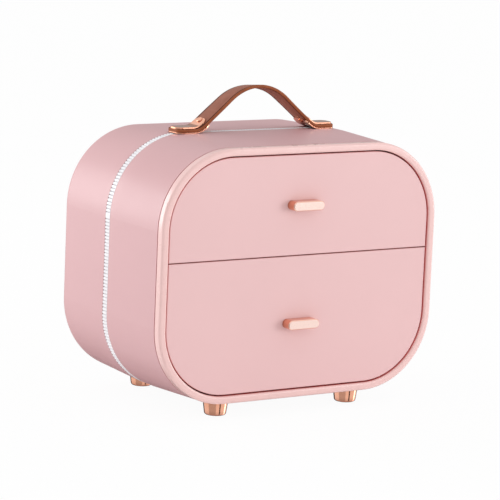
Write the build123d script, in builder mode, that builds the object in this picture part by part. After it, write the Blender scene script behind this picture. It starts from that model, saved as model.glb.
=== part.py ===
import os
from math import atan, cos, degrees, radians, sin, sqrt, tan

from build123d import *

os.makedirs("parts", exist_ok=True)

# ---------------------------------------------------------------- case body
CASE_W = 290.0  # width over the rim
CASE_H = 226.6  # height over the rim, without feet and handle
CASE_D = 174.0  # rim face to back face
CASE_R = 70.5  # corner radius of the front outline
BULGE = 2.6  # both halves widen by this on every side, up to the seam
BELT = 12.0  # level stretch on each side of the seam, the seat of the handle
WALL = 3.0  # wall of both shell halves
BACK_ROUND = 8.0  # rounding of the rear outer edge
FOOT_H = 14.0  # the body stands this far above the table

# rim around the drawers
RIM_W = 7.0
RIM_D = 9.0
RIM_ROUND = 2.4
RIM_INNER_ROUND = 2.0
SHADOW_W = 1.1  # groove that parts the rim from the front half
SHADOW_DEPTH = 1.6
SPIGOT_D = 8.0
SPIGOT_T = 2.0

# seam between the halves, with the ribbed trim band that covers it
SEAM_FROM_FACE = 90.0
BAND_W = 8.0
BAND_DEPTH = 1.8
BAND_SIDE_GAP = 0.25
RIB_GROOVE = 1.5  # width of the V grooves that part the ribs
RIBS_TOP = 49
RIBS_SIDE = 28
RIBS_CORNER = 36
JOINT_RING = 7.0  # inset of the ring that stiffens each half at the seam
JOINT_RING_HALF = 10.0
CASE_SCREW_INSET = 5.0
CASE_SCREW_R = 1.25
CASE_HEAD_R = 1.85
CASE_HEAD_H = 1.4
PILOT_CLEAR = 0.05
CASE_SCREW_SPREAD_X = 0.3  # places of the seam screws, as shares of the straight runs
CASE_SCREW_SPREAD_Z = 0.42

# ---------------------------------------------------------------- drawers
SPLIT_ABOVE_MID = 15.1  # parting line of the two fronts above mid height
FRONT_RECESS = 2.0
FRONT_T = 4.5
FRONT_GAP = 1.2
FRONT_ROUND = 0.8
SPLIT_GAP = 0.9
TRAY_INSET = 13.6
TRAY_WALL = 2.0
TRAY_BACK_GAP = 13.0  # free space behind a closed tray
UPPER_TRAY_H = 54.0
LOWER_TRAY_DROP = 9.0  # rim of the lower tray below the parting line
TRAY_CORNER = 3.0
TRAVEL = 95.0
RUN_GAP = 0.3

SHELF_T = 3.0
SHELF_BELOW_SPLIT = 0.5
TRAY_OVER_SHELF = 1.2

RUNNER_H = 10.0
RUNNER_START = 12.0
RUNNER_BACK_GAP = 10.0
RUNNER_WEB = 1.3
RUNNER_GAP = 0.6
FLANGE_T = 2.0
RAIL_WEB = 1.5
RAIL_H = 7.0
FLANGE_OUT = 3.3  # from the rail's web into the runner
FLANGE_LEAD = 3.0  # the flange starts this far ahead of its runner
LUG_L = 4.0
LUG_H = 4.0
PAD_L = 20.0
PAD_SPACE = 1.0  # free space between the rim's spigot and the front pads

# ---------------------------------------------------------------- knobs
KNOB_W = 33.0
KNOB_H = 8.6
KNOB_D = 10.7
KNOB_CHAMFER = 0.8
KNOB_SCREW_GAP = 16.0
SCREW_R = 1.6
SCREW_CLEAR = 0.2
SCREW_BITE = 6.0
BLIND_END = 0.5  # blind holes go this much deeper than their screws
HEAD_R = 3.2
HEAD_H = 2.0
BOSS_R = 4.8

# ---------------------------------------------------------------- feet
FOOT_FROM_CORNER = 4.5  # feet inside the end of the bottom's straight run
FOOT_FROM_FACE = 23.0
FOOT_TOP_R = 11.75
FOOT_BOTTOM_R = 9.6
FOOT_ROUND = 2.2
FOOT_OVERLAP = 1.0  # the cone is run up this far and then fitted to the shell

# ---------------------------------------------------------------- handle
STRAP_W = 23.0
STRAP_T = 2.8
STRAP_END = 13.0  # the flat end reaches this far past the studs
STRAP_CORNER = 6.0
BEND_FROM_STUD = 9.5  # from the studs to where the leg's line meets the flat end
BEND_R = 16.0
LEG_ANGLE = 39.5
ARCH_R = 46.0
BASE_T = 1.0
COVER_T = 1.6
COVER_W = 17.0
COVER_ROUND = 0.7
TONGUE = 7.0  # how far the plates follow the leg past the bend
STUD_FROM_CORNER = 3.5  # studs inside the end of the top's straight run
STUD_FROM_SEAM = 6.2
STUD_R = 2.2
STUD_CLEAR = 0.2
RIVET_UP = 3.5
RIVET_R = 3.0
RIVET_DOME = 1.3
RIVET_SHANK_R = 1.4
RIVET_TAIL_R = 2.4
RIVET_TAIL_H = 1.0
RIVET_ROUND = 1.1
STUD_SCREW_R = 1.1
STUD_HEAD_R = 3.4
STUD_HEAD_H = 1.8
STUD_SHORT = 1.0  # studs end this far above the inside of the top

# ---------------------------------------------------------------- derived
TOTAL_D = CASE_D + KNOB_D - FRONT_RECESS
FACE_Y = KNOB_D - FRONT_RECESS - TOTAL_D / 2
BODY_Y = FACE_Y + RIM_D
BACK_Y = FACE_Y + CASE_D
SEAM_Y = FACE_Y + SEAM_FROM_FACE
BELT_FRONT = SEAM_Y - BELT
BELT_BACK = SEAM_Y + BELT
FLAT_W = CASE_W - 2 * CASE_R
FLAT_H = CASE_H - 2 * CASE_R
MID_Z = FOOT_H + CASE_H / 2
TOP_Z = FOOT_H + CASE_H
BELT_Z = TOP_Z + BULGE
SPLIT_Z = MID_Z + SPLIT_ABOVE_MID
FRONT_Y = FACE_Y + FRONT_RECESS
TRAY_Y = FRONT_Y + FRONT_T
TRAY_D = BACK_Y - WALL - TRAY_BACK_GAP - TRAY_Y
TRAY_X = CASE_W / 2 - TRAY_INSET
SHELF_TOP = SPLIT_Z - SHELF_BELOW_SPLIT
SHELF_BOTTOM = SHELF_TOP - SHELF_T
UPPER_FLOOR = SHELF_TOP + TRAY_OVER_SHELF
RUNNER_X = CASE_W / 2 - JOINT_RING
RUNNER_BACK = BACK_Y - RUNNER_BACK_GAP
UPPER_RUN_Z = SHELF_TOP + RUNNER_H / 2
LOWER_RUN_Z = SHELF_BOTTOM - RUNNER_H / 2
UPPER_KNOB_Z = (SPLIT_Z + TOP_Z - RIM_W) / 2
LOWER_KNOB_Z = (SPLIT_Z + FOOT_H + RIM_W) / 2
FOOT_X = FLAT_W / 2 - FOOT_FROM_CORNER
STUD_X = FLAT_W / 2 - STUD_FROM_CORNER
BEND_X = STUD_X - BEND_FROM_STUD
STRAP_HALF = STUD_X + STRAP_END
STRAP_Z = BELT_Z + BASE_T + STRAP_T / 2


def section(y, z=MID_Z):
    """Upright plane across the case at depth y, looking in from the front."""
    return Plane(origin=(0, y, z), x_dir=(1, 0, 0), z_dir=(0, -1, 0))


def outline(inset, mode=Mode.ADD):
    """The case's front outline, drawn in by an even amount."""
    RectangleRounded(CASE_W - 2 * inset, CASE_H - 2 * inset, CASE_R - inset, mode=mode)


def outline_ring(y, depth, outer, inner, mode=Mode.ADD):
    """A band that follows the outline, from y to y + depth."""
    with BuildSketch(section(y)) as ring:
        outline(outer)
        outline(inner, mode=Mode.SUBTRACT)
    extrude(ring.sketch, amount=-depth, mode=mode)


def stage(y, depth, start, end, mode=Mode.ADD):
    """A length of the case whose inset changes evenly from start to end."""
    with BuildSketch(section(y)) as profile:
        outline(start)
    extrude(profile.sketch, amount=-depth, taper=degrees(atan((end - start) / depth)), mode=mode)


def front_half(inset, mode=Mode.ADD):
    """The case from the rim to the seam, drawn in by an even amount."""
    stage(BODY_Y, BELT_FRONT - BODY_Y, inset, inset - BULGE, mode=mode)
    stage(BELT_FRONT, BELT, inset - BULGE, inset - BULGE, mode=mode)


def rear_half(inset, y_end, mode=Mode.ADD):
    """The case from the seam to y_end, drawn in by an even amount."""
    stage(SEAM_Y, BELT, inset - BULGE, inset - BULGE, mode=mode)
    stage(BELT_BACK, y_end - BELT_BACK, inset - BULGE, inset, mode=mode)


def block(x0, x1, y0, y1, z0, z1, mode=Mode.ADD):
    """A plain block between two corners."""
    with Locations(((x0 + x1) / 2, (y0 + y1) / 2, (z0 + z1) / 2)):
        Box(abs(x1 - x0), y1 - y0, z1 - z0, mode=mode)


def save(builder, label):
    """Name the finished piece and write it out."""
    builder.part.label = label
    export_step(builder.part, f"parts/{label}.step")


def seam_points():
    """Screw places around the seam, on the straight runs of the outline."""
    across = CASE_W / 2 - CASE_SCREW_INSET
    up = CASE_H / 2 - CASE_SCREW_INSET
    step_x = CASE_SCREW_SPREAD_X * FLAT_W
    step_z = CASE_SCREW_SPREAD_Z * FLAT_H
    return [(x, z) for x in (-step_x, step_x) for z in (-up, up)] + [
        (x, z) for x in (-across, across) for z in (-step_z, step_z)
    ]


# ---------------------------------------------------------------- rim
with BuildPart() as bezel:
    outline_ring(FACE_Y, RIM_D, 0, RIM_W)
    rim_face = bezel.faces().sort_by(Axis.Y)[0]
    rim_outer = rim_face.outer_wire().edges()
    rim_inner = rim_face.inner_wires()[0].edges()
    fillet(rim_outer, RIM_ROUND)
    fillet(rim_inner, RIM_INNER_ROUND)
    outline_ring(BODY_Y - SHADOW_W, SHADOW_W, 0, SHADOW_DEPTH, mode=Mode.SUBTRACT)
    outline_ring(FACE_Y + RIM_D, SPIGOT_D, WALL, WALL + SPIGOT_T)
save(bezel, "front_bezel")

# ---------------------------------------------------------------- shell halves
PAD_Z0 = SHELF_BOTTOM - RUNNER_H
PAD_Z1 = SHELF_TOP + RUNNER_H


def runner_pads(y):
    """Pads inside both side walls that carry the runners."""
    for side in (-1, 1):
        block(side * RUNNER_X, side * (CASE_W / 2 - WALL / 2), y, y + PAD_L, PAD_Z0, PAD_Z1)


def stud_holes(y):
    """Openings in the top for the handle studs."""
    with Locations((-STUD_X, y, BELT_Z), (STUD_X, y, BELT_Z)):
        Cylinder(STUD_R + STUD_CLEAR, 2 * (JOINT_RING + BULGE), mode=Mode.SUBTRACT)


def foot_fixings(y):
    """Level bosses with screw holes, inside the bottom above a pair of feet."""
    with Locations((-FOOT_X, y, FOOT_H + WALL), (FOOT_X, y, FOOT_H + WALL)):
        Cylinder(BOSS_R, WALL, align=(Align.CENTER, Align.CENTER, Align.MAX))
        Cylinder(SCREW_R + SCREW_CLEAR, 3 * WALL, mode=Mode.SUBTRACT)


def band_trough(y):
    """Half of the shallow trough for the trim band."""
    outline_ring(y, BAND_W / 2, -BULGE, BAND_DEPTH - BULGE, mode=Mode.SUBTRACT)


with BuildPart() as front_shell:
    front_half(0)
    front_half(WALL, mode=Mode.SUBTRACT)
    outline_ring(SEAM_Y - JOINT_RING_HALF, JOINT_RING_HALF, WALL - BULGE, JOINT_RING)
    band_trough(SEAM_Y - BAND_W / 2)
    runner_pads(BODY_Y + SPIGOT_D + PAD_SPACE)
    stud_holes(SEAM_Y - STUD_FROM_SEAM)
    with BuildSketch(section(SEAM_Y)):
        with Locations(*seam_points()):
            Circle(CASE_SCREW_R + PILOT_CLEAR)
    extrude(amount=SCREW_BITE, mode=Mode.SUBTRACT)
    foot_fixings(FACE_Y + FOOT_FROM_FACE)
save(front_shell, "front_shell")

with BuildPart() as rear_shell:
    rear_half(0, BACK_Y)
    fillet(rear_shell.faces().sort_by(Axis.Y)[-1].edges(), BACK_ROUND)
    rear_half(WALL, BACK_Y - WALL, mode=Mode.SUBTRACT)
    floor_edges = rear_shell.faces().filter_by(Plane.XZ).sort_by(Axis.Y)[-2].edges()
    fillet(floor_edges, BACK_ROUND - WALL)
    outline_ring(SEAM_Y, JOINT_RING_HALF, WALL - BULGE, JOINT_RING)
    band_trough(SEAM_Y)
    runner_pads(RUNNER_BACK - PAD_L)
    stud_holes(SEAM_Y + STUD_FROM_SEAM)
    with BuildSketch(section(SEAM_Y)):
        with Locations(*seam_points()):
            Circle(CASE_SCREW_R + SCREW_CLEAR)
    extrude(amount=-JOINT_RING_HALF, mode=Mode.SUBTRACT)
    foot_fixings(BACK_Y - FOOT_FROM_FACE)
save(rear_shell, "rear_shell")

with BuildPart() as case_screws:
    with BuildSketch(section(SEAM_Y + JOINT_RING_HALF)):
        with Locations(*seam_points()):
            Circle(CASE_SCREW_R)
    extrude(amount=JOINT_RING_HALF + SCREW_BITE - BLIND_END)
    with BuildSketch(section(SEAM_Y + JOINT_RING_HALF)):
        with Locations(*seam_points()):
            Circle(CASE_HEAD_R)
    extrude(amount=-CASE_HEAD_H)
save(case_screws, "case_screws")

# ---------------------------------------------------------------- trim band
with BuildPart() as trim_band:
    with BuildSketch(section(SEAM_Y - BAND_W / 2 + BAND_SIDE_GAP)):
        outline(-BULGE)
        outline(BAND_DEPTH - BULGE, mode=Mode.SUBTRACT)
        groove = RIB_GROOVE / sqrt(2)
        bend_r = CASE_R + BULGE
        with GridLocations(FLAT_W / RIBS_TOP, FLAT_H + 2 * bend_r, RIBS_TOP, 2):
            Rectangle(groove, groove, rotation=45, mode=Mode.SUBTRACT)
        with GridLocations(FLAT_W + 2 * bend_r, FLAT_H / RIBS_SIDE, 2, RIBS_SIDE):
            Rectangle(groove, groove, rotation=45, mode=Mode.SUBTRACT)
        step = 90 / RIBS_CORNER
        for quarter, (sx, sz) in enumerate(((1, 1), (-1, 1), (-1, -1), (1, -1))):
            with Locations((sx * FLAT_W / 2, sz * FLAT_H / 2)):
                with PolarLocations(bend_r, RIBS_CORNER, quarter * 90 + step / 2, 90 - step):
                    Rectangle(groove, groove, rotation=45, mode=Mode.SUBTRACT)
    extrude(amount=-(BAND_W - 2 * BAND_SIDE_GAP))
save(trim_band, "trim_band")

# ---------------------------------------------------------------- shelf and runners
with BuildPart() as shelf:
    block(
        -RUNNER_X, RUNNER_X, FACE_Y + RUNNER_START, BACK_Y - WALL, SHELF_BOTTOM, SHELF_TOP
    )
    back_corners = shelf.edges().filter_by(Axis.Z).group_by(Axis.Y)[-1]
    fillet(back_corners, BACK_ROUND)
save(shelf, "middle_shelf")

RUNNER_IN = TRAY_X + RAIL_WEB + RUNNER_GAP
LUG_FRONT = TRAY_Y + TRAY_D - LUG_L
NARROW_END = LUG_FRONT - TRAVEL - RUN_GAP


def runner(z):
    """Channel that the drawer's side flange runs in, right-hand one."""
    y0 = FACE_Y + RUNNER_START
    y1 = RUNNER_BACK
    deep = RUNNER_X - RUNNER_WEB
    narrow = FLANGE_T / 2 + RUN_GAP
    wide = LUG_H / 2 + RUN_GAP
    block(RUNNER_IN, RUNNER_X, y0, y1, z - RUNNER_H / 2, z + RUNNER_H / 2)
    block(RUNNER_IN, deep, y0, y1, z - narrow, z + narrow, mode=Mode.SUBTRACT)
    block(RUNNER_IN, deep, NARROW_END, y1, z - wide, z + wide, mode=Mode.SUBTRACT)


for row, height in (("upper", UPPER_RUN_Z), ("lower", LOWER_RUN_Z)):
    with BuildPart() as right_runner:
        runner(height)
    save(right_runner, f"{row}_runner_right")
    with BuildPart() as left_runner:
        add(mirror(right_runner.part, about=Plane.YZ))
    save(left_runner, f"{row}_runner_left")


# ---------------------------------------------------------------- drawers
def slide_rail(z):
    """Rail bonded to a tray's right side, its flange ending in a stop lug."""
    y0 = FACE_Y + RUNNER_START - FLANGE_LEAD
    y1 = TRAY_Y + TRAY_D
    web_x = TRAY_X + RAIL_WEB
    block(TRAY_X, web_x, y0, y1, z - RAIL_H / 2, z + RAIL_H / 2)
    block(web_x, web_x + FLANGE_OUT, y0, y1, z - FLANGE_T / 2, z + FLANGE_T / 2)
    block(web_x, web_x + FLANGE_OUT, LUG_FRONT, y1, z - LUG_H / 2, z + LUG_H / 2)


for row, height in (("upper", UPPER_RUN_Z), ("lower", LOWER_RUN_Z)):
    with BuildPart() as right_rail:
        slide_rail(height)
    save(right_rail, f"{row}_drawer_rail_right")
    with BuildPart() as left_rail:
        add(mirror(right_rail.part, about=Plane.YZ))
    save(left_rail, f"{row}_drawer_rail_left")


def knob_holes(z, radius):
    """Screw holes for a knob through front and tray."""
    with BuildSketch(section(FRONT_Y, z)) as pair:
        with GridLocations(KNOB_SCREW_GAP, 1, 2, 1):
            Circle(radius)
    extrude(pair.sketch, amount=-(FRONT_T + TRAY_WALL), mode=Mode.SUBTRACT)


with BuildPart() as upper_front:
    with BuildSketch(section(FRONT_Y)):
        outline(RIM_W + FRONT_GAP)
        cut = CASE_H / 2 + SPLIT_ABOVE_MID + SPLIT_GAP / 2
        with Locations((0, cut / 2 - CASE_H / 2)):
            Rectangle(CASE_W, cut, mode=Mode.SUBTRACT)
    extrude(amount=-FRONT_T)
    fillet(upper_front.faces().sort_by(Axis.Y)[0].edges(), FRONT_ROUND)
    knob_holes(UPPER_KNOB_Z, SCREW_R + SCREW_CLEAR)
save(upper_front, "upper_drawer_front")

with BuildPart() as lower_front:
    with BuildSketch(section(FRONT_Y)):
        outline(RIM_W + FRONT_GAP)
        cut = CASE_H / 2 - SPLIT_ABOVE_MID + SPLIT_GAP / 2
        with Locations((0, CASE_H / 2 - cut / 2)):
            Rectangle(CASE_W, cut, mode=Mode.SUBTRACT)
    extrude(amount=-FRONT_T)
    fillet(lower_front.faces().sort_by(Axis.Y)[0].edges(), FRONT_ROUND)
    knob_holes(LOWER_KNOB_Z, SCREW_R + SCREW_CLEAR)
save(lower_front, "lower_drawer_front")

with BuildPart() as upper_tray:
    y_back = TRAY_Y + TRAY_D
    block(-TRAY_X, TRAY_X, TRAY_Y, y_back, UPPER_FLOOR, UPPER_FLOOR + UPPER_TRAY_H)
    fillet(upper_tray.edges().filter_by(Axis.Y).group_by(Axis.Z)[0], TRAY_CORNER)
    block(
        TRAY_WALL - TRAY_X,
        TRAY_X - TRAY_WALL,
        TRAY_Y + TRAY_WALL,
        y_back - TRAY_WALL,
        UPPER_FLOOR + TRAY_WALL,
        TOP_Z,
        mode=Mode.SUBTRACT,
    )
    knob_holes(UPPER_KNOB_Z, SCREW_R + SCREW_CLEAR)
save(upper_tray, "upper_drawer_tray")


def trough(y, depth, inset, mode=Mode.ADD):
    """Rounded trough below the shelf, drawn in from the outline."""
    with BuildSketch(section(y)) as profile:
        outline(inset)
        gone = CASE_H / 2 - SPLIT_ABOVE_MID + LOWER_TRAY_DROP
        with Locations((0, CASE_H / 2 - gone / 2)):
            Rectangle(CASE_W, gone, mode=Mode.SUBTRACT)
    extrude(profile.sketch, amount=-depth, mode=mode)


with BuildPart() as lower_tray:
    trough(TRAY_Y, TRAY_D, TRAY_INSET)
    inner_d = TRAY_D - 2 * TRAY_WALL
    trough(TRAY_Y + TRAY_WALL, inner_d, TRAY_INSET + TRAY_WALL, mode=Mode.SUBTRACT)
    knob_holes(LOWER_KNOB_Z, SCREW_R + SCREW_CLEAR)
save(lower_tray, "lower_drawer_tray")

# ---------------------------------------------------------------- knobs
for row, height in (("upper", UPPER_KNOB_Z), ("lower", LOWER_KNOB_Z)):
    with BuildPart() as knob:
        with BuildSketch(section(FRONT_Y, height)):
            SlotOverall(KNOB_W, KNOB_H)
        extrude(amount=KNOB_D)
        chamfer(knob.faces().sort_by(Axis.Y)[0].edges(), KNOB_CHAMFER)
        with BuildSketch(section(FRONT_Y, height)):
            with GridLocations(KNOB_SCREW_GAP, 1, 2, 1):
                Circle(SCREW_R)
        extrude(amount=SCREW_BITE + BLIND_END, mode=Mode.SUBTRACT)
    save(knob, f"{row}_knob")

    with BuildPart() as knob_screws:
        with BuildSketch(section(FRONT_Y + FRONT_T + TRAY_WALL, height)):
            with GridLocations(KNOB_SCREW_GAP, 1, 2, 1):
                Circle(SCREW_R)
        extrude(amount=FRONT_T + TRAY_WALL + SCREW_BITE)
        with BuildSketch(section(FRONT_Y + FRONT_T + TRAY_WALL, height)):
            with GridLocations(KNOB_SCREW_GAP, 1, 2, 1):
                Circle(HEAD_R)
        extrude(amount=-HEAD_H)
    save(knob_screws, f"{row}_knob_screws")


# ---------------------------------------------------------------- feet
foot_places = {
    "foot_front_left": (-FOOT_X, FACE_Y + FOOT_FROM_FACE),
    "foot_front_right": (FOOT_X, FACE_Y + FOOT_FROM_FACE),
    "foot_rear_left": (-FOOT_X, BACK_Y - FOOT_FROM_FACE),
    "foot_rear_right": (FOOT_X, BACK_Y - FOOT_FROM_FACE),
}
for label, (foot_x, foot_y) in foot_places.items():
    with BuildPart() as one_foot:
        with Locations((foot_x, foot_y, 0)):
            Cone(
                FOOT_BOTTOM_R,
                FOOT_TOP_R,
                FOOT_H + FOOT_OVERLAP,
                align=(Align.CENTER, Align.CENTER, Align.MIN),
            )
        fillet(one_foot.faces().sort_by(Axis.Z)[0].edges(), FOOT_ROUND)
        front_half(0, mode=Mode.SUBTRACT)
        rear_half(0, BACK_Y, mode=Mode.SUBTRACT)
        with Locations((foot_x, foot_y, FOOT_H)):
            Cylinder(SCREW_R, 2 * (SCREW_BITE + BLIND_END), mode=Mode.SUBTRACT)
    save(one_foot, label)

with BuildPart() as foot_screws:
    with Locations(*[(x, y, FOOT_H + WALL) for x, y in foot_places.values()]):
        Cylinder(SCREW_R, WALL + SCREW_BITE, align=(Align.CENTER, Align.CENTER, Align.MAX))
        Cylinder(HEAD_R, HEAD_H, align=(Align.CENTER, Align.CENTER, Align.MIN))
save(foot_screws, "foot_screws")

# ---------------------------------------------------------------- handle
HEADING = radians(LEG_ANGLE)
ARC_X = BEND_X + BEND_R * tan(HEADING / 2)
LEG_X = ARC_X - BEND_R * sin(HEADING)
LEG_Z = STRAP_Z + BEND_R * (1 - cos(HEADING))
LEGS_MEET_Z = STRAP_Z + BEND_X * tan(HEADING)
ALONG = Vector(-cos(HEADING), sin(HEADING))
AWAY = Vector(sin(HEADING), cos(HEADING))
KNEE = Vector(LEG_X, LEG_Z)


def bent_plate(low, high, width):
    """Right-hand plate that follows the strap's flat end, its bend and a bit of its leg."""
    tip = KNEE + ALONG * TONGUE
    centre = (ARC_X, STRAP_Z + BEND_R)
    with BuildSketch(section(SEAM_Y - width / 2, 0)) as side_view:
        with BuildLine():
            Polyline(
                (ARC_X, STRAP_Z + low),
                (STRAP_HALF, STRAP_Z + low),
                (STRAP_HALF, STRAP_Z + high),
                (ARC_X, STRAP_Z + high),
            )
            CenterArc(centre, BEND_R - high, -90, -LEG_ANGLE)
            Polyline(KNEE + AWAY * high, tip + AWAY * high, tip + AWAY * low, KNEE + AWAY * low)
            CenterArc(centre, BEND_R - low, -90, -LEG_ANGLE)
        make_face()
    extrude(side_view.sketch, amount=-width)


def off_strap(point):
    """Height of a point on the right-hand side above the middle of the strap."""
    arm = Vector(point.X - ARC_X, point.Z - STRAP_Z - BEND_R)
    if arm.X >= 0:
        return -arm.Y - BEND_R
    if arm.X < -abs(arm.Y) * tan(HEADING):
        return (Vector(point.X, point.Z) - KNEE).dot(AWAY)
    return BEND_R - arm.length


def rim_edges(builder, height):
    """Edges around a bent plate's face at a height, without the seams across it."""
    across = [ARC_X - (BEND_R - height) * sin(HEADING) * step for step in (0, 1)]
    found = builder.edges().filter_by(lambda e: abs(off_strap(e @ 0.5) - height) < 0.01)
    return [e for e in found if min(abs((e @ 0.5).X - x) for x in across) > 0.01]


def stud_axes(side):
    """The two stud places of one plate."""
    return [(side * STUD_X, SEAM_Y + y, BELT_Z) for y in (-STUD_FROM_SEAM, STUD_FROM_SEAM)]


def rivet_plane(side):
    """Plane square to the strap's leg, at the middle of its thickness."""
    spot = KNEE + ALONG * RIVET_UP
    return Plane(
        origin=(side * spot.X, SEAM_Y, spot.Y),
        x_dir=(0, 1, 0),
        z_dir=(side * sin(HEADING), 0, cos(HEADING)),
    )


with BuildPart() as strap:
    with BuildSketch(section(SEAM_Y - STRAP_W / 2, 0)):
        with BuildLine():
            FilletPolyline(
                (-STRAP_HALF, STRAP_Z),
                (-BEND_X, STRAP_Z),
                (0, LEGS_MEET_Z),
                (BEND_X, STRAP_Z),
                (STRAP_HALF, STRAP_Z),
                radius=[BEND_R, ARCH_R, BEND_R],
            )
        trace(line_width=STRAP_T)
    extrude(amount=-STRAP_W)
    ends = strap.edges().filter_by(Axis.Z).group_by(Axis.X)
    fillet(ends[0] + ends[-1], STRAP_CORNER)
    with Locations(*stud_axes(-1), *stud_axes(1)):
        Cylinder(STUD_R + STUD_CLEAR, 4 * STRAP_T, mode=Mode.SUBTRACT)
    with Locations(rivet_plane(-1), rivet_plane(1)):
        Cylinder(RIVET_SHANK_R, 2 * STRAP_T, mode=Mode.SUBTRACT)
save(strap, "handle_strap")

UNDER = -STRAP_T / 2 - BASE_T
OVER = STRAP_T / 2 + COVER_T

with BuildPart() as base_plate:
    bent_plate(UNDER, -STRAP_T / 2, STRAP_W)
    tip_edges = base_plate.edges().filter_by(lambda e: abs(e.length - BASE_T) < 0.01)
    fillet(tip_edges, STRAP_CORNER)
    with Locations(*stud_axes(1)):
        Cylinder(STUD_R + STUD_CLEAR, 4 * BASE_T, mode=Mode.SUBTRACT)
    with Locations(rivet_plane(1)):
        Cylinder(RIVET_SHANK_R, 4 * STRAP_T, mode=Mode.SUBTRACT)

with BuildPart() as cover_plate:
    bent_plate(STRAP_T / 2, OVER, COVER_W)
    tip_edges = cover_plate.edges().filter_by(lambda e: abs(e.length - COVER_T) < 0.01)
    fillet(tip_edges, STRAP_CORNER)
    fillet(rim_edges(cover_plate, OVER), COVER_ROUND)
    stud_end = TOP_Z - JOINT_RING + STUD_SHORT
    with Locations(*[(x, y, stud_end) for x, y, _ in stud_axes(1)]):
        Cylinder(
            STUD_R,
            STRAP_Z + OVER - COVER_T / 2 - stud_end,
            align=(Align.CENTER, Align.CENTER, Align.MIN),
        )
        Cylinder(
            STUD_SCREW_R,
            SCREW_BITE + BLIND_END,
            align=(Align.CENTER, Align.CENTER, Align.MIN),
            mode=Mode.SUBTRACT,
        )
    with Locations(rivet_plane(1)):
        Cylinder(RIVET_SHANK_R, 4 * STRAP_T, mode=Mode.SUBTRACT)

with BuildPart(rivet_plane(1)) as rivet:
    with Locations((0, 0, UNDER)):
        Cylinder(RIVET_SHANK_R, OVER - UNDER, align=(Align.CENTER, Align.CENTER, Align.MIN))
        Cylinder(RIVET_TAIL_R, RIVET_TAIL_H, align=(Align.CENTER, Align.CENTER, Align.MAX))
    with Locations((0, 0, OVER)):
        Cylinder(RIVET_R, RIVET_DOME, align=(Align.CENTER, Align.CENTER, Align.MIN))
    head_edge = rivet.edges().group_by(Axis(rivet_plane(1).origin, rivet_plane(1).z_dir))[-1]
    fillet(head_edge, RIVET_ROUND)

for piece, label in (
    (base_plate, "handle_base"),
    (cover_plate, "handle_cover"),
    (rivet, "handle_rivet"),
):
    save(piece, f"{label}_right")
    with BuildPart() as left_piece:
        add(mirror(piece.part, about=Plane.YZ))
    save(left_piece, f"{label}_left")

with BuildPart() as handle_screws:
    with Locations(*[(x, y, TOP_Z - JOINT_RING) for x, y, _ in stud_axes(-1) + stud_axes(1)]):
        Cylinder(STUD_SCREW_R, SCREW_BITE, align=(Align.CENTER, Align.CENTER, Align.MIN))
        Cylinder(STUD_HEAD_R, STUD_HEAD_H, align=(Align.CENTER, Align.CENTER, Align.MAX))
save(handle_screws, "handle_screws")
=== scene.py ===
import bpy, bmesh
from math import cos, pi, radians, sin, sqrt, tan
from mathutils import Matrix, Vector


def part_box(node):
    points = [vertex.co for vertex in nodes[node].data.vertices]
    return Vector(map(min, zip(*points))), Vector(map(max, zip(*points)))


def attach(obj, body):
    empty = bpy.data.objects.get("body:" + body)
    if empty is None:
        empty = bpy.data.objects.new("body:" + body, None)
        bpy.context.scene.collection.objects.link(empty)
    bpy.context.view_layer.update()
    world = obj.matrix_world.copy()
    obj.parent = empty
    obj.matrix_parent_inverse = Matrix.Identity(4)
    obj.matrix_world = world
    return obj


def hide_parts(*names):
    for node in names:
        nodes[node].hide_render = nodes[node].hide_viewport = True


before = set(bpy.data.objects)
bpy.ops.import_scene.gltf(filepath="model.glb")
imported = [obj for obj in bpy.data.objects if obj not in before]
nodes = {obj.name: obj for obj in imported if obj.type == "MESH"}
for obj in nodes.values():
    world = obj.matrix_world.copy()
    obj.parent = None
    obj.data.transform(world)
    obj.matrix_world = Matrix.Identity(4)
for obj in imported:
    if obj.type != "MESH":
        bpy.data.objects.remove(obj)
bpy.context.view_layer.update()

MM = 0.001

# ---------------------------------------------------------------- places read from the frame
RIM_LOW, RIM_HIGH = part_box("front_bezel")
FACE_Y = RIM_LOW[1]
MID_Z = (RIM_LOW[2] + RIM_HIGH[2]) / 2
STRAP_LOW, STRAP_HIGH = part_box("handle_strap")
STRAP_MID_Y = (STRAP_LOW[1] + STRAP_HIGH[1]) / 2
STRAP_HALF = STRAP_HIGH[0]

# ---------------------------------------------------------------- sizes of the strap
STRAP_W = STRAP_HIGH[1] - STRAP_LOW[1]
STRAP_T = 2.8 * MM
STRAP_Z = STRAP_LOW[2] + STRAP_T / 2  # middle of its thickness at the flat ends
STRAP_CORNER = 6.0 * MM  # rounding of the ends, seen from above
BEND_X = 61.5 * MM  # where the flat end and the leg would meet in a sharp bend
BEND_R = 16.0 * MM
LEG_ANGLE = radians(39.5)
ARCH_R = 46.0 * MM
EDGE_R = 1.0 * MM  # rounding of the painted edges
CREASE_IN = 1.75 * MM  # pressed line along both edges
CREASE_W = 1.3 * MM
CREASE_DEPTH = 0.3 * MM
LEAN = radians(6.5)  # the crown leans back a little, as worn-in straps do

END_STEPS = (0.0, 0.1, 0.3, 0.6, 1.0, 1.5, 2.1, 3.0, 4.2, 6.0, 9.0, 12.0)  # mm from the end
BEND_STEPS = 10
LEG_STEPS = 5
ARCH_STEPS = 12
EDGE_STEPS = 4
FACE, EDGE, CREASE = 0, 1, 2  # material slots of the strap

# ---------------------------------------------------------------- camera, from a fit to the outlines
CAMERA_AZIMUTH = radians(-33.29)
CAMERA_ELEVATION = radians(9.69)
CAMERA_ROLL = radians(2.46)
CAMERA_DISTANCE = 2.38729
SENSOR = 36.0
PHOTO_PX = 500.0
FOCAL_PX = 2733.7
AIM_X = -55.4 * MM
AIM_ABOVE_MID = 23.34 * MM

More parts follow.
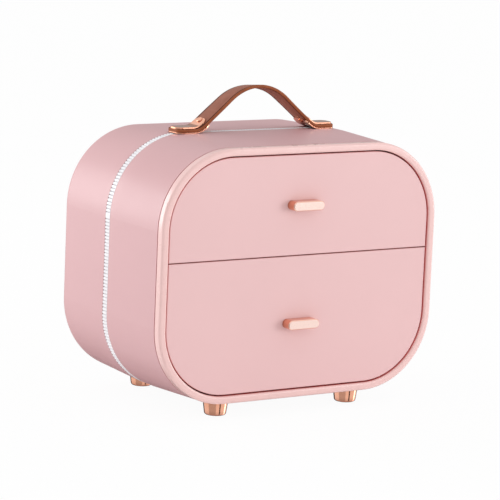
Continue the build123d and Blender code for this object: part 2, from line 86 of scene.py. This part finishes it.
# ---------------------------------------------------------------- looks
MIX_FACTOR, MIX_FIRST, MIX_SECOND, MIX_RESULT = 0, 6, 7, 2  # colour sockets of the Mix node
TONES_FROM, TONES_TO = 0.3, 0.7  # part of a noise over which one tone turns into the other
CLOUDINESS = 0.015  # share by which the tone of a plastic wanders
DARK_GAP_SHADE = (0.45, 0.02, 0.015)  # painted shade, dark red, in the groove behind the rim and inside the case
RED_GAP_SHADE = (0.9, 0.015, 0.01)  # painted shade, deep red, on the rim where it borders the drawers
PALE_GAP_SHADE = (1.0, 0.62, 0.56)  # painted shade, weak and pale, on the drawers' own edges
GAP_REACH = 4 * MM

FLOOR_HALF = 6.0
CARD_LOW = -2.0  # the cards reach below the floor, which reflections don't show
CARD_HIGH = 1.2
WHITE = (1, 1, 1, 1)


# ---------------------------------------------------------------- node helpers
def new_material(name):
    """A material, its node tree and its Principled shader."""
    mat = bpy.data.materials.new(name)
    mat.use_nodes = True
    return mat, mat.node_tree, mat.node_tree.nodes["Principled BSDF"]


def coords(tree):
    """Object coordinates, which are the row frame in metres."""
    return tree.nodes.new("ShaderNodeTexCoord").outputs["Object"]


def noise(tree, scale, detail=3.0, roughness=0.5):
    """Soft noise from 0 to 1."""
    node = tree.nodes.new("ShaderNodeTexNoise")
    node.inputs["Scale"].default_value = scale
    node.inputs["Detail"].default_value = detail
    node.inputs["Roughness"].default_value = roughness
    tree.links.new(coords(tree), node.inputs["Vector"])
    return node.outputs["Fac"]


def cell_edges(tree, scale):
    """Distance to the edges of small cells."""
    node = tree.nodes.new("ShaderNodeTexVoronoi")
    node.feature = "DISTANCE_TO_EDGE"
    node.inputs["Scale"].default_value = scale
    tree.links.new(coords(tree), node.inputs["Vector"])
    return node.outputs["Distance"]


def two_tones(tree, value, dark, light):
    """The dark tone where the value is low, the light one where it is high."""
    node = tree.nodes.new("ShaderNodeValToRGB")
    low, high = node.color_ramp.elements
    low.position = TONES_FROM
    high.position = TONES_TO
    low.color = (*dark, 1)
    high.color = (*light, 1)
    tree.links.new(value, node.inputs["Fac"])
    return node.outputs["Color"]


def map_range(tree, value, source, target):
    """The value with the range source carried over to the range target."""
    node = tree.nodes.new("ShaderNodeMapRange")
    for label, number in zip(("From Min", "From Max", "To Min", "To Max"), (*source, *target)):
        node.inputs[label].default_value = number
    tree.links.new(value, node.inputs["Value"])
    return node.outputs["Result"]


def mixed(tree, factor, first, second, blend="MIX"):
    """A colour output mixed with a plain colour by the factor."""
    node = tree.nodes.new("ShaderNodeMix")
    node.data_type = "RGBA"
    node.blend_type = blend
    tree.links.new(factor, node.inputs[MIX_FACTOR])
    tree.links.new(first, node.inputs[MIX_FIRST])
    node.inputs[MIX_SECOND].default_value = (*second, 1)
    return node.outputs[MIX_RESULT]


def shaded(tree, colour, shade_tint, reach, open_at):
    """Painted shade: the colour times a tint where other surfaces within reach close it in."""
    near = tree.nodes.new("ShaderNodeAmbientOcclusion")
    near.samples = 8
    near.inputs["Distance"].default_value = reach
    closed = map_range(tree, near.outputs["AO"], (0.0, open_at), (1.0, 0.0))
    return mixed(tree, closed, colour, shade_tint, "MULTIPLY")


def facing_front(tree, start, end):
    """1 where the surface faces the front, 0 elsewhere."""
    place = tree.nodes.new("ShaderNodeTexCoord")
    turn = tree.nodes.new("ShaderNodeVectorMath")
    turn.operation = "DOT_PRODUCT"
    turn.inputs[1].default_value = (0, -1, 0)
    tree.links.new(place.outputs["Normal"], turn.inputs[0])
    return map_range(tree, turn.outputs["Value"], (start, end), (0.0, 1.0))


def bump(tree, shader, height, distance, strength, under=None):
    """Bump on the shader's normal, on top of another bump if one is given."""
    node = tree.nodes.new("ShaderNodeBump")
    node.inputs["Distance"].default_value = distance
    node.inputs["Strength"].default_value = strength
    tree.links.new(height, node.inputs["Height"])
    if under is not None:
        tree.links.new(under, node.inputs["Normal"])
    tree.links.new(node.outputs["Normal"], shader.inputs["Normal"])
    return node.outputs["Normal"]


def paint(tree, shader, colour):
    """Gives the shader its base colour."""
    tree.links.new(colour, shader.inputs["Base Color"])


def uneven_gloss(tree, shader, scale, low, high):
    """Roughness that wanders between two values."""
    gloss = map_range(tree, noise(tree, scale), (0.0, 1.0), (low, high))
    tree.links.new(gloss, shader.inputs["Roughness"])


# ---------------------------------------------------------------- materials
def plastic(name, colour, rough, coat, grain, shade_tint, shine=0.35, open_at=0.55):
    """Moulded plastic: faint cloudiness, fine grain, uneven gloss, and painted shade in narrow gaps."""
    mat, tree, shader = new_material(name)
    pale = tuple(min(1.0, part * (1 + CLOUDINESS)) for part in colour)
    deep = tuple(part * (1 - CLOUDINESS) for part in colour)
    clouds = two_tones(tree, noise(tree, scale=9.0, detail=4.0), deep, pale)
    # painted shade where the plastic sits in narrow gaps
    paint(tree, shader, shaded(tree, clouds, shade_tint, GAP_REACH, open_at))
    shader.inputs["Specular IOR Level"].default_value = shine
    shader.inputs["Coat Weight"].default_value = coat
    shader.inputs["Coat Roughness"].default_value = 0.22
    uneven_gloss(tree, shader, 60.0, rough - 0.04, rough + 0.04)
    bump(tree, shader, noise(tree, scale=2600.0, detail=2.0), distance=0.02 * MM, strength=grain)
    return mat


def rose_gold(name, rough, front_highlight=None):
    """Polished plating with painted shade in its corners; faces towards the front get a paler tone as a
    painted highlight.
    """
    mat, tree, shader = new_material(name)
    colour = two_tones(tree, noise(tree, scale=40.0), (0.78, 0.36, 0.23), (0.88, 0.45, 0.31))
    # painted shade in corners and near other surfaces
    colour = shaded(tree, colour, shade_tint=(0.16, 0.06, 0.04), reach=7 * MM, open_at=0.85)
    # painted highlight: a paler tone on faces towards the front
    if front_highlight is not None:
        colour = mixed(tree, facing_front(tree, 0.6, 0.8), colour, front_highlight)
    paint(tree, shader, colour)
    shader.inputs["Metallic"].default_value = 1.0
    uneven_gloss(tree, shader, 300.0, rough - 0.03, rough + 0.05)
    bump(tree, shader, noise(tree, scale=900.0, detail=2.0), distance=0.02 * MM, strength=0.25)
    return mat


def steel(name):
    """Zinc-plated screws."""
    mat, tree, shader = new_material(name)
    paint(tree, shader, two_tones(tree, noise(tree, scale=200.0), (0.50, 0.50, 0.52), (0.62, 0.62, 0.63)))
    shader.inputs["Metallic"].default_value = 1.0
    uneven_gloss(tree, shader, 500.0, 0.28, 0.42)
    return mat


def white_trim(name):
    """White moulded trim, slightly cool, with painted shade between its ribs."""
    mat, tree, shader = new_material(name)
    colour = two_tones(tree, noise(tree, scale=120.0), (0.86, 0.84, 0.87), (0.92, 0.91, 0.93))
    paint(tree, shader, shaded(tree, colour, shade_tint=(0.07, 0.045, 0.055), reach=2 * MM, open_at=0.8))
    uneven_gloss(tree, shader, 300.0, 0.34, 0.46)
    return mat


def leather(name, dark, light, rough, shine):
    """Smooth leather: pores and fine creases in the bump, uneven tone and gloss."""
    mat, tree, shader = new_material(name)
    paint(tree, shader, two_tones(tree, noise(tree, 90.0, 5.0, 0.6), dark, light))
    shader.inputs["Specular IOR Level"].default_value = shine
    uneven_gloss(tree, shader, 400.0, rough - 0.08, rough + 0.08)
    pores = bump(tree, shader, cell_edges(tree, scale=1500.0), distance=0.12 * MM, strength=0.45)
    creases = noise(tree, scale=700.0, detail=4.0)
    bump(tree, shader, creases, distance=0.08 * MM, strength=0.4, under=pores)
    return mat


shell_mat = plastic(
    "pink_shell", (0.70, 0.42, 0.435), rough=0.42, coat=0.06, grain=0.4, shade_tint=DARK_GAP_SHADE, shine=0.36
)
rim_mat = plastic(
    "pink_rim", (0.90, 0.60, 0.575), rough=0.28, coat=0.30, grain=0.25, shade_tint=RED_GAP_SHADE, open_at=0.86
)
face_mat = plastic(
    "pink_drawer_face", (0.84, 0.545, 0.545), rough=0.42, coat=0.06, grain=0.35, shade_tint=PALE_GAP_SHADE
)
inner_mat = plastic(
    "pink_inner", (0.62, 0.36, 0.36), rough=0.55, coat=0.0, grain=0.5, shade_tint=DARK_GAP_SHADE
)
trim_mat = white_trim("white_trim")
gold_mat = rose_gold("rose_gold", rough=0.10)
# the knobs' front faces carry a painted highlight
knob_mat = rose_gold("rose_gold_knob", rough=0.14, front_highlight=(0.94, 0.71, 0.64))
steel_mat = steel("zinc_screw")
leather_mat = leather(
    "brown_leather", (0.28, 0.098, 0.062), (0.37, 0.138, 0.090), rough=0.52, shine=0.20
)
edge_mat = leather(
    "painted_edge", (0.27, 0.075, 0.030), (0.36, 0.11, 0.045), rough=0.50, shine=0.12
)
crease_mat = leather(
    "creased_leather", (0.04, 0.012, 0.010), (0.06, 0.018, 0.014), rough=0.60, shine=0.05
)

FINISHES = {
    "front_bezel": rim_mat,
    "front_shell": shell_mat,
    "rear_shell": shell_mat,
    "trim_band": trim_mat,
    "upper_drawer_front": face_mat,
    "lower_drawer_front": face_mat,
    "handle_strap": leather_mat,
}


def finish_of(name):
    """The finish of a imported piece, from its name."""
    if name in FINISHES:
        return FINISHES[name]
    if name.endswith("_screws"):
        return steel_mat
    if name.endswith("_knob"):
        return knob_mat
    if name.startswith(("foot_", "handle_")):
        return gold_mat
    return inner_mat


for name, node in nodes.items():
    for place in node.material_slots:
        place.material = finish_of(name)


# ---------------------------------------------------------------- leather strap
def add_object(name, data):
    """A new object in the scene, for a mesh, lamp or camera."""
    obj = bpy.data.objects.new(name, data)
    bpy.context.scene.collection.objects.link(obj)
    return obj


def path_half():
    """Mid-line of the strap's right half, from the end to the crown: (x, z, heading)."""
    knee_x = BEND_X + BEND_R * tan(LEG_ANGLE / 2)
    leg_x = knee_x - BEND_R * sin(LEG_ANGLE)
    leg_z = STRAP_Z + BEND_R * (1 - cos(LEG_ANGLE))
    arch_x = ARCH_R * sin(LEG_ANGLE)
    centre_z = STRAP_Z + BEND_X * tan(LEG_ANGLE) - ARCH_R / cos(LEG_ANGLE)
    points = [(STRAP_HALF - step * MM, STRAP_Z, 0.0) for step in END_STEPS]
    for step in range(BEND_STEPS + 1):
        angle = LEG_ANGLE * step / BEND_STEPS
        points.append((knee_x - BEND_R * sin(angle), STRAP_Z + BEND_R * (1 - cos(angle)), angle))
    for step in range(1, LEG_STEPS):
        x = leg_x + (arch_x - leg_x) * step / LEG_STEPS
        points.append((x, leg_z + (leg_x - x) * tan(LEG_ANGLE), LEG_ANGLE))
    for step in range(ARCH_STEPS + 1):
        angle = LEG_ANGLE * (1 - step / ARCH_STEPS)
        points.append((ARCH_R * sin(angle), centre_z + ARCH_R * cos(angle), angle))
    return points


def crown_share(x):
    """1 at the crown, fading evenly to 0 where the plates begin."""
    share = max(0.0, 1 - abs(x) / (BEND_X - BEND_R))
    return share * share * (3 - 2 * share)


def rounded_edge(flat, step):
    """A point of the painted edge, from the end of the flat face (step 0) out to its middle."""
    angle = pi / 2 * step / EDGE_STEPS
    return flat + EDGE_R * sin(angle), STRAP_T / 2 - EDGE_R * (1 - cos(angle))


def strap_section(half):
    """Loop round the strap's section: (across, off the middle, slot of the side that follows)."""
    flat = half - EDGE_R
    lip = STRAP_T / 2
    pressed = lip - CREASE_DEPTH
    line = half - min(CREASE_IN, half / 2)
    outer = line + CREASE_W / 2
    inner = line - CREASE_W / 2
    face = (
        (-flat, lip, FACE),
        (-outer, lip, CREASE),
        (-line, pressed, CREASE),
        (-inner, lip, FACE),
        (0.0, lip, FACE),
        (inner, lip, CREASE),
        (line, pressed, CREASE),
        (outer, lip, FACE),
    )
    loop = []
    for side in (1, -1):
        for across, off, part in face:
            loop.append((side * across, side * off, part))
        for step in range(EDGE_STEPS):
            across, off = rounded_edge(flat, step)
            loop.append((side * across, side * off, EDGE))
        for step in range(EDGE_STEPS, 0, -1):
            across, off = rounded_edge(flat, step)
            loop.append((side * across, -side * off, EDGE))
    return loop


def strap_ring(mesh, x, z, angle):
    """One loop of vertices round the strap, each with the slot of the side that follows."""
    short = max(0.0, STRAP_CORNER - (STRAP_HALF - abs(x)))
    half = STRAP_W / 2 - STRAP_CORNER + sqrt(STRAP_CORNER**2 - short**2)
    lean = LEAN * crown_share(x)
    ring = []
    for across, off, part in strap_section(half):
        side = across * cos(lean) + off * sin(lean)
        lift = off * cos(lean) - across * sin(lean)
        place = (x + lift * sin(angle), STRAP_MID_Y + side, z + lift * cos(angle))
        ring.append((mesh.verts.new(place), part))
    return ring


def leather_strap():
    """The strap in the arch that it keeps, its ends rounded, edges painted and creased."""
    half_path = path_half()
    path = half_path + [(-x, z, -angle) for x, z, angle in reversed(half_path[:-1])]
    mesh = bmesh.new()
    rings = [strap_ring(mesh, *place) for place in path]
    for one, two in zip(rings, rings[1:]):
        for i, (vert, part) in enumerate(one):
            j = (i + 1) % len(one)
            face = mesh.faces.new((vert, one[j][0], two[j][0], two[i][0]))
            face.material_index = part
            face.smooth = True
    for ring in (rings[0], rings[-1]):
        cap = mesh.faces.new([vert for vert, _ in ring])
        cap.material_index = EDGE
    bmesh.ops.recalc_face_normals(mesh, faces=mesh.faces)
    data = bpy.data.meshes.new("leather_strap")
    mesh.to_mesh(data)
    mesh.free()
    for finish in (leather_mat, edge_mat, crease_mat):
        data.materials.append(finish)
    return add_object("leather_strap", data)


strap = leather_strap()
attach(strap, "case")
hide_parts("handle_strap")


# ---------------------------------------------------------------- floor, light and camera
def glow(tree, tone):
    """A shader that shows a grey tone whatever the light; 1 is white."""
    node = tree.nodes.new("ShaderNodeEmission")
    node.inputs["Color"].default_value = (tone, tone, tone, 1)
    node.inputs["Strength"].default_value = 1.0
    return node.outputs[0]


def shows_white(tree, shader, to_camera, to_mirrors):
    """Mixes plain white into what the camera, and what metal and glass, see of a surface."""
    light_path = tree.nodes.new("ShaderNodeLightPath")
    shares = {"Is Camera Ray": to_camera, "Is Glossy Ray": to_mirrors, "Is Transmission Ray": to_mirrors}
    amount = None
    for ray, share in shares.items():
        step = tree.nodes.new("ShaderNodeMath")
        step.operation = "MULTIPLY_ADD"
        step.inputs[1].default_value = share
        step.inputs[2].default_value = 0.0
        tree.links.new(light_path.outputs[ray], step.inputs[0])
        if amount is not None:
            tree.links.new(amount, step.inputs[2])
        amount = step.outputs[0]
    mix = tree.nodes.new("ShaderNodeMixShader")
    tree.links.new(amount, mix.inputs["Fac"])
    tree.links.new(shader.outputs[0], mix.inputs[1])
    tree.links.new(glow(tree, 1.0), mix.inputs[2])
    return mix.outputs[0]


def sheet(name, corners, mat):
    """A flat sheet between four corners."""
    data = bpy.data.meshes.new(name)
    data.from_pydata(corners, [], [(0, 1, 2, 3)])
    data.materials.append(mat)
    return add_object(name, data)


def white_floor(half):
    """A wide pale floor that keeps a faint shadow."""
    mat, tree, shader = new_material("pale_floor")
    shader.inputs["Base Color"].default_value = (0.93, 0.93, 0.93, 1)
    shader.inputs["Roughness"].default_value = 0.8
    shown = shows_white(tree, shader, to_camera=0.95, to_mirrors=0.4)
    tree.links.new(shown, tree.nodes["Material Output"].inputs["Surface"])
    corners = [(-half, -half, 0), (half, -half, 0), (half, half, 0), (-half, half, 0)]
    obj = sheet("floor", corners, mat)
    obj.visible_glossy = False


def toned_card(name, azimuth, distance, width, tone, high=CARD_HIGH):
    """An upright card that only reflections show; azimuth 0 is the front, 90 the right."""
    mat, tree, _ = new_material(name)
    tree.links.new(glow(tree, tone), tree.nodes["Material Output"].inputs["Surface"])
    x = width / 2
    corners = [(-x, 0, CARD_LOW), (x, 0, CARD_LOW), (x, 0, high), (-x, 0, high)]
    obj = sheet(name, corners, mat)
    obj.location = (distance * sin(azimuth), -distance * cos(azimuth), 0)
    obj.rotation_euler = (0, 0, azimuth)
    obj.visible_camera = False
    obj.visible_diffuse = False
    obj.visible_shadow = False


def soft_box(name, place, size, power):
    """A rectangular lamp aimed at the middle of the case."""
    lamp = bpy.data.lights.new(name, "AREA")
    lamp.shape = "RECTANGLE"
    lamp.size, lamp.size_y = size
    lamp.energy = power
    obj = add_object(name, lamp)
    obj.location = place
    aim = Vector((0, 0, MID_Z)) - Vector(place)
    obj.rotation_euler = aim.to_track_quat("-Z", "Y").to_euler()


def soft_world(ambient):
    """White backdrop all round, with a dimmer share of it as light."""
    world = bpy.data.worlds.new("soft_white")
    world.use_nodes = True
    tree = world.node_tree
    light = tree.nodes["Background"]
    light.inputs["Color"].default_value = WHITE
    light.inputs["Strength"].default_value = ambient
    shown = shows_white(tree, light, to_camera=1.0, to_mirrors=1.0)
    tree.links.new(shown, tree.nodes["World Output"].inputs["Surface"])
    bpy.context.scene.world = world


def photo_camera():
    """Camera that reproduces the photograph's view."""
    target = Vector((AIM_X, FACE_Y, MID_Z + AIM_ABOVE_MID))
    az, el, roll = CAMERA_AZIMUTH, CAMERA_ELEVATION, CAMERA_ROLL
    back = Vector((sin(az) * cos(el), -cos(az) * cos(el), sin(el)))
    right = (-back).cross(Vector((0, 0, 1))).normalized()
    up = right.cross(-back)
    right, up = cos(roll) * right + sin(roll) * up, -sin(roll) * right + cos(roll) * up
    turn = Matrix((right, up, back)).transposed().to_4x4()
    data = bpy.data.cameras.new("camera")
    data.sensor_width = SENSOR
    data.lens = FOCAL_PX * SENSOR / PHOTO_PX
    obj = add_object("camera", data)
    obj.matrix_world = Matrix.Translation(target + back * CAMERA_DISTANCE) @ turn
    bpy.context.scene.camera = obj


white_floor(FLOOR_HALF)
soft_world(ambient=0.80)
soft_box("back_left", (-1.3, 1.5, 0.5), size=(1.2, 1.0), power=15)
soft_box("front_right", (1.6, -1.9, 0.45), size=(1.2, 0.8), power=14)
toned_card("back_card", radians(147), distance=1.6, width=2.0, tone=0.40)
toned_card("low_back_card", radians(152), distance=1.55, width=2.9, tone=0.03, high=0.02)
toned_card("strip_card", radians(14), distance=1.8, width=0.4, tone=0.08)
toned_card("right_card", radians(78), distance=1.9, width=0.6, tone=3.5)
toned_card("left_card", radians(-62), distance=2.0, width=3.0, tone=0.60)
photo_camera()
bpy.context.scene.view_settings.view_transform = "Standard"
